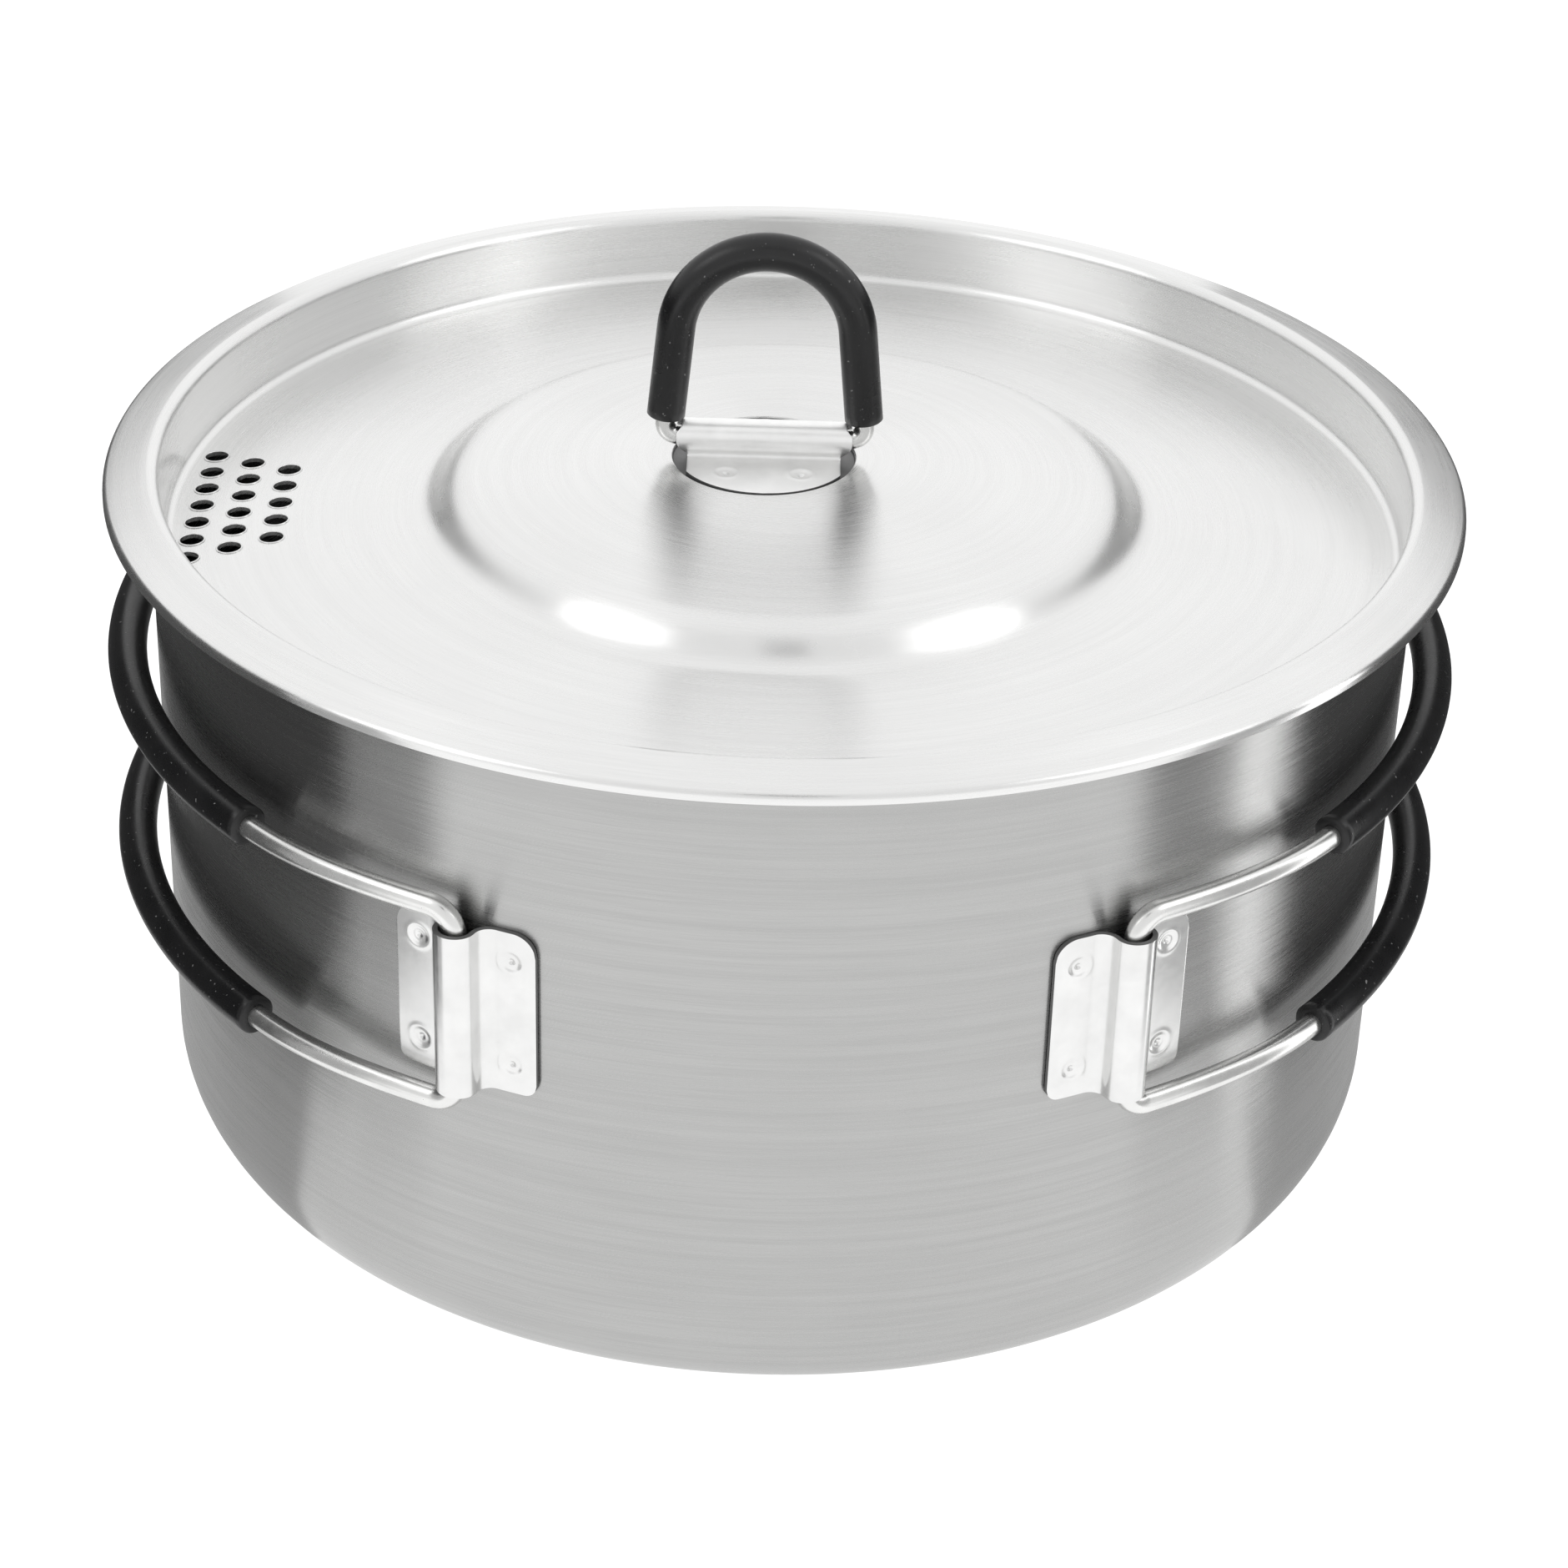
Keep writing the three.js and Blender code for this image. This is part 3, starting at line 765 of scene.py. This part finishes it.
def outer_lid_profile():
    """Upper face of the lid from the dome's side outwards."""
    foot = CREST_RADIUS - LID_ROUND - SKIRT_TAPER
    foot_round = arc_points(foot - LID_ROUND, LID_ROUND - SKIRT_DEPTH, LID_ROUND, -86, 0, 10)
    slope = math.degrees(FLANGE_SLOPE)
    crest = arc_points(CREST_RADIUS, -LID_ROUND, LID_ROUND, 180, 90 - slope, 12)
    edge_x = LID_RADIUS - EDGE_ROUND
    edge_z = under_flange(edge_x, EDGE_ROUND)
    edge = arc_points(edge_x, edge_z, EDGE_ROUND, 90 - slope, 0, 8)
    dome = dome_curve()
    return (
        dome
        + line_points(dome[-1], foot_round[0], 16)
        + foot_round
        + line_points(foot_round[-1], crest[0], 4)
        + crest
        + line_points(crest[-1], edge[0], 5)
        + edge
        + [(LID_RADIUS, edge_z + EDGE_ROUND - EDGE_DROP)]
    )


def lid_turned(x, y, height):
    """A place in the lid's own frame, given from its crest, as a place on the pot."""
    return (
        x * math.cos(LID_TURN) - y * math.sin(LID_TURN),
        x * math.sin(LID_TURN) + y * math.cos(LID_TURN),
        LID_CREST + height,
    )


def low_well_profile():
    """The well's floor and its foot from near the middle outwards, as (radius, share of its depth)."""
    turn = WELL_ROUND / WELL_DEPTH
    foot = arc_points(0, turn, turn, -90, 0, 5)
    floor = [(WELL_RADIUS * share, 0) for share in WELL_FLOOR_RINGS]
    return floor + [(WELL_RADIUS - WELL_ROUND + x * WELL_DEPTH, y) for x, y in foot]


def well_profile():
    """The pressed well from near its middle outwards, as (radius, share of its depth)."""
    turn = WELL_ROUND / WELL_DEPTH
    rim = arc_points(0, 1 - turn, turn, 180, 90, 6)
    return low_well_profile() + [(WELL_RADIUS + WELL_ROUND + x * WELL_DEPTH, y) for x, y in rim]


def strainer_places():
    """Middles of the strainer holes in the lid's frame."""
    places = []
    for column, count in enumerate(HOLE_COLUMNS):
        x = HOLE_FIRST_COLUMN + column * HOLE_COLUMN_STEP
        for i in range(count):
            places.append((x, HOLE_OFFSET + (i - (count - 1) / 2) * HOLE_PITCH))
    return places


def on_panel(x, y):
    """A place on the lid's panel, given in the lid's frame, as a place on the pot."""
    return lid_turned(x, y, panel_at(math.hypot(x, y)))


def build_lid():
    """Strainer lid: dome with a pressed well, sunk panel, skirt, sloping flange and turned edge.

    Rings of points go outwards from the well, which isn't in the middle, to the lid's edge.
    """
    points = []
    floor = well_floor()
    angles = [2 * math.pi * i / ROUND_STEPS for i in range(ROUND_STEPS)]
    for radius, share in well_profile():
        for angle in angles:
            x, y = WELL_SHIFT + radius * math.cos(angle), radius * math.sin(angle)
            top = crown_at(math.hypot(x, y))
            points.append(lid_turned(x, y, floor + (top - floor) * share))
    rim = well_profile()[-1][0]
    for k in range(1, CROWN_STEPS):
        share = k / CROWN_STEPS
        middle = (1 - share) * WELL_SHIFT
        radius = (1 - share) * rim + share * DOME_START
        for angle in angles:
            x, y = middle + radius * math.cos(angle), radius * math.sin(angle)
            points.append(lid_turned(x, y, crown_at(math.hypot(x, y))))
    for radius, height in outer_lid_profile():
        for angle in angles:
            points.append(lid_turned(radius * math.cos(angle), radius * math.sin(angle), height))
    faces = turned_faces(len(points) // ROUND_STEPS, ROUND_STEPS)
    faces.append(tuple(range(ROUND_STEPS)))
    piece = make_piece("lid_plate", points, faces, "lid", "lid_shell", "lid_steel", LID_STEEL)
    face_up(piece)
    # The well's floor gets painted shade.
    paint_shade_on_well_floor(piece)
    thick = piece.modifiers.new("thickness", "SOLIDIFY")
    thick.thickness = SHEET * MM
    thick.offset = -1
    apply_modifiers(piece)
    pierce(piece)
    piece.data.set_sharp_from_angle(angle=math.radians(SHARP_TURNED))
    build_hole_rims()


def paint_shade_on_well_floor(piece):
    """Paints shade on the well's floor, which is the lid's first rings of faces and its last, middle
    face, by giving it the dark edge steel.
    """
    piece.data.materials.append(CUT_EDGE_AND_SHADE)
    floor_rings = len(low_well_profile()) - 1
    for polygon in (*piece.data.polygons[:floor_rings * ROUND_STEPS], piece.data.polygons[-1]):
        polygon.material_index = 1


def face_up(piece):
    """Turns a sheet's faces so that its last one looks up."""
    mesh = piece.data
    if mesh.polygons[-1].normal.z < 0:
        mesh.flip_normals()


def pierce(piece):
    """Cuts the strainer holes."""
    cutter_mesh = bpy.data.meshes.new("cutter")
    tool = bmesh.new()
    radius = HOLE_RADIUS * MM
    for x, y in strainer_places():
        bmesh.ops.create_cone(
            tool, cap_ends=True, segments=HOLE_STEPS, radius1=radius, radius2=radius,
            depth=HOLE_CUT * MM, matrix=Matrix.Translation(Vector(on_panel(x, y)) * MM))
    tool.to_mesh(cutter_mesh)
    tool.free()
    cutter = bpy.data.objects.new("cutter", cutter_mesh)
    bpy.context.scene.collection.objects.link(cutter)
    cut = piece.modifiers.new("holes", "BOOLEAN")
    cut.operation = "DIFFERENCE"
    cut.solver = "EXACT"
    cut.object = cutter
    apply_modifiers(piece)
    bpy.data.objects.remove(cutter)


def build_hole_rims():
    """The raised burr round each strainer hole, which catches the light."""
    points, faces = [], []
    for x, y in strainer_places():
        px, py, pz = on_panel(x, y)
        first = len(points)
        for i in range(HOLE_STEPS):
            angle = 2 * math.pi * i / HOLE_STEPS
            for k in range(BURR_STEPS):
                turn = 2 * math.pi * k / BURR_STEPS
                radius = HOLE_RADIUS + BURR_RADIUS * (BURR_SHIFT + math.cos(turn))
                dx, dy = radius * math.cos(angle), radius * math.sin(angle)
                tilt = panel_at(math.hypot(x + dx, y + dy)) - panel_at(math.hypot(x, y))
                rise = tilt + BURR_RADIUS * BURR_FLATNESS * math.sin(turn)
                points.append((px + dx, py + dy, pz + rise))
        for i in range(HOLE_STEPS):
            here = first + i * BURR_STEPS
            ahead = first + (i + 1) % HOLE_STEPS * BURR_STEPS
            for k in range(BURR_STEPS):
                n = (k + 1) % BURR_STEPS
                faces.append((here + k, here + n, ahead + n, ahead + k))
    make_piece("strainer_rims", points, faces, "lid", None, "lid_steel", LID_STEEL)


def build_lid_bracket():
    """The bracket in the well: a barrel along the lid's X and two flanges on the well's floor."""
    floor = well_floor()
    pivot = RING_PIVOT - LID_CREST - floor
    reach = WELL_RADIUS - WELL_ROUND - LID_FLANGE_GAP
    flange_top = SEAT_GAP + BRACKET_SHEET
    section = barrel_section(LID_BARREL_RADIUS, pivot, flange_top, reach, LID_FILLET)

    def extent(along, out):
        if out <= flange_top:
            half = min(LID_FLANGE_HALF, math.sqrt(max(0.01, reach ** 2 - along ** 2)))
        else:
            rise = smoothstep((out - flange_top) / (pivot - flange_top))
            notch = LID_NOTCH * smoothstep((out - pivot) / LID_NOTCH_RISE - 1)
            half = LID_FLANGE_HALF + (LID_BARREL_HALF - LID_FLANGE_HALF) * rise - notch
        return -half, half

    def place(along, out, across):
        height = out - weld_dent(across, along, LID_WELDS)
        return lid_turned(WELL_SHIFT + across, along, floor + height)

    piece = bent_sheet(
        "ring_bracket", "lid", "lid_ring_bracket", LID_BRACKET_STEEL_LIT,
        section, extent, place, LID_BRACKET_ROWS)
    face_outward(piece, lid_turned(WELL_SHIFT, 0, floor))


def build_ring():
    """The lid's folding ring: a bent wire with a black sleeve."""
    foot = LID_BARREL_HALF + RING_SIDE_GAP + RING_WIRE + LID_BARREL_RADIUS * math.tan(RING_FLARE)
    peak = foot / math.tan(RING_FLARE)
    arch = (peak - RING_HEIGHT) / (1 / math.sin(RING_FLARE) - 1)
    tip = LID_BARREL_HALF - RING_PIN
    start = LID_BARREL_RADIUS + RING_GRIP_GAP + RING_GRIP * math.sin(RING_FLARE)
    grip_x = foot - start * math.tan(RING_FLARE)
    route = rounded_route([
        (tip, 0, 0, False),
        (foot, 0, RING_BEND, False),
        (grip_x, start, 0, True),
        (0, peak, arch, False),
        (-grip_x, start, 0, True),
        (-foot, 0, RING_BEND, False),
        (-tip, 0, 0, False),
    ], turn_step=math.radians(4))
    pivot = RING_PIVOT - LID_CREST
    path = [Vector(lid_turned(WELL_SHIFT + place.x, 0, pivot + place.y)) for place, _ in route]
    build_wire_and_sleeve("ring", "lid_ring", path, between_marks(route), RING_WIRE, RING_GRIP)


# ---- Studio ----

def plane(name, width, depth, matrix, material):
    """A flat rectangle for the studio. It isn't part of the object."""
    mesh = bpy.data.meshes.new(name)
    x, y = width / 2, depth / 2
    mesh.from_pydata([(-x, -y, 0), (x, -y, 0), (x, y, 0), (-x, y, 0)], [], [(0, 1, 2, 3)])
    mesh.materials.append(material)
    made = bpy.data.objects.new(name, mesh)
    made.matrix_world = matrix
    bpy.context.scene.collection.objects.link(made)
    return made


def glowing_matt(name, colour, glow):
    """A matt paint that gives off an even white light."""
    nodes = Nodes(name)
    nodes.set(Base_Color=(*colour, 1), Roughness=0.9)
    nodes.set(Emission_Color=(1, 1, 1, 1), Emission_Strength=glow)
    return nodes.material


def hidden_card(name, middle, facing, height, width, material):
    """A card that only reflections see, for the dark and light bands in the steel."""
    turn = (Vector(facing) - Vector(middle)).to_track_quat("Z", "Y").to_matrix().to_4x4()
    card = plane(name, width, height, Matrix.Translation(Vector(middle)) @ turn, material)
    for ray in ("camera", "diffuse", "shadow", "transmission", "volume_scatter"):
        setattr(card, "visible_" + ray, False)


def soft_box(name, place, watts):
    """A square soft light that points at the pot."""
    light = bpy.data.lights.new(name, "AREA")
    light.shape = "SQUARE"
    light.size = BOX_SIZE
    light.energy = watts
    lamp = bpy.data.objects.new(name, light)
    lamp.location = place
    lamp.rotation_euler = (Vector(BOX_AIM) - Vector(place)).to_track_quat("-Z", "Y").to_euler()
    bpy.context.scene.collection.objects.link(lamp)


def build_surroundings():
    """White for the camera. For reflections it is brighter behind the pot than in front of it."""
    world = bpy.data.worlds.new("surroundings")
    world.use_nodes = True
    tree = world.node_tree
    place = tree.nodes.new("ShaderNodeTexCoord")
    split = tree.nodes.new("ShaderNodeSeparateXYZ")
    ramp = tree.nodes.new("ShaderNodeMapRange")
    ramp.interpolation_type = "SMOOTHSTEP"
    ramp.inputs["From Min"].default_value = -WORLD_SPREAD
    ramp.inputs["From Max"].default_value = WORLD_SPREAD
    ramp.inputs["To Min"].default_value = WORLD_FRONT
    ramp.inputs["To Max"].default_value = WORLD_BACK
    light_path = tree.nodes.new("ShaderNodeLightPath")
    mix = tree.nodes.new("ShaderNodeMix")
    mix.inputs["B"].default_value = 1.0
    background = tree.nodes["Background"]
    tree.links.new(place.outputs["Generated"], split.inputs[0])
    tree.links.new(split.outputs["Y"], ramp.inputs["Value"])
    tree.links.new(light_path.outputs["Is Camera Ray"], mix.inputs["Factor"])
    tree.links.new(ramp.outputs["Result"], mix.inputs["A"])
    tree.links.new(mix.outputs["Result"], background.inputs["Strength"])
    background.inputs["Color"].default_value = (1, 1, 1, 1)
    bpy.context.scene.world = world


def build_studio():
    """Light table as the floor, even surroundings, two soft boxes, and cards for the reflections.

    The cards at the sides make the dark and light bands down the wall and are listed from front to
    back. The floor cards dim the floor in it, and the camera card stands for the dark camera.
    """
    white = glowing_matt("floor_white", (0.2, 0.2, 0.2), FLOOR_GLOW)
    plane("floor", FLOOR_SIZE, FLOOR_SIZE, Matrix.Identity(4), white)
    build_surroundings()
    soft_box("left_box", (-0.85, -0.35, 1.0), watts=1.6)
    soft_box("right_box", (0.85, -0.3, 1.0), watts=1.5)
    black = glowing_matt("card_black", CARD_PAINT, 0.06)
    grey = glowing_matt("card_grey", CARD_PAINT, 0.42)
    dim = glowing_matt("card_dim", CARD_PAINT, 0.6)
    bright = glowing_matt("card_white", (0.9, 0.9, 0.9), 1.1)
    for name, side, front, back, material in (
        ("left_shade", -1, -0.135, -0.09, grey),
        ("left_card", -1, -0.088, CARD_BACK, black),
        ("right_shade", 1, -0.135, -0.082, grey),
        ("right_strip", 1, -0.08, -0.056, bright),
        ("right_card", 1, -0.054, CARD_BACK, black),
    ):
        middle = (side * CARD_SIDE, (front + back) / 2, CARD_HEIGHT / 2)
        hidden_card(name, middle, (0, *middle[1:]), CARD_HEIGHT, back - front, material)
    for name, x in (("left_floor", -0.115), ("right_floor", 0.115)):
        hidden_card(name, (x, 0.195, 0.001), (x, 0.195, 1.0), 0.51, 0.08, dim)
    hidden_card("camera_card", (0, -0.45, 0.62), (0, 0, 0.11), 0.16, 0.13, black)


def turned_pair(first, second, angle):
    """Two axes turned together, the first one towards the second."""
    return (
        first * math.cos(angle) + second * math.sin(angle),
        second * math.cos(angle) - first * math.sin(angle),
    )


def place_camera():
    """The camera stands in front, above and a little to the left, and looks down at the lid."""
    offset = Vector((0, -math.cos(CAMERA_RISE), math.sin(CAMERA_RISE))) * CAMERA_DISTANCE
    forward = -offset.normalized()
    right = Vector((1, 0, 0))
    upward = right.cross(forward)
    forward, right = turned_pair(forward, right, CAMERA_PAN)
    forward, upward = turned_pair(forward, upward, CAMERA_TILT)
    right, upward = turned_pair(right, upward, CAMERA_ROLL)
    axes = Matrix((right, upward, -forward)).transposed().to_4x4()
    spin = Matrix.Rotation(CAMERA_TURN, 4, "Z")
    camera = bpy.data.cameras.new("camera")
    camera.sensor_width = CAMERA_SENSOR
    camera.lens = CAMERA_LENS
    camera.clip_start = 0.01
    view = bpy.data.objects.new("camera", camera)
    view.matrix_world = Matrix.Translation(CAMERA_AIM) @ spin @ Matrix.Translation(offset) @ axes
    bpy.context.scene.collection.objects.link(view)
    bpy.context.scene.camera = view


place_camera()
build_studio()
build_pot()
for hand, title in ((-1, "left"), (1, "right")):
    build_hinge_bracket(hand, title)
    build_handle(hand, title)
build_lid()
build_lid_bracket()
build_ring()
bpy.context.scene.view_settings.view_transform = "Standard"
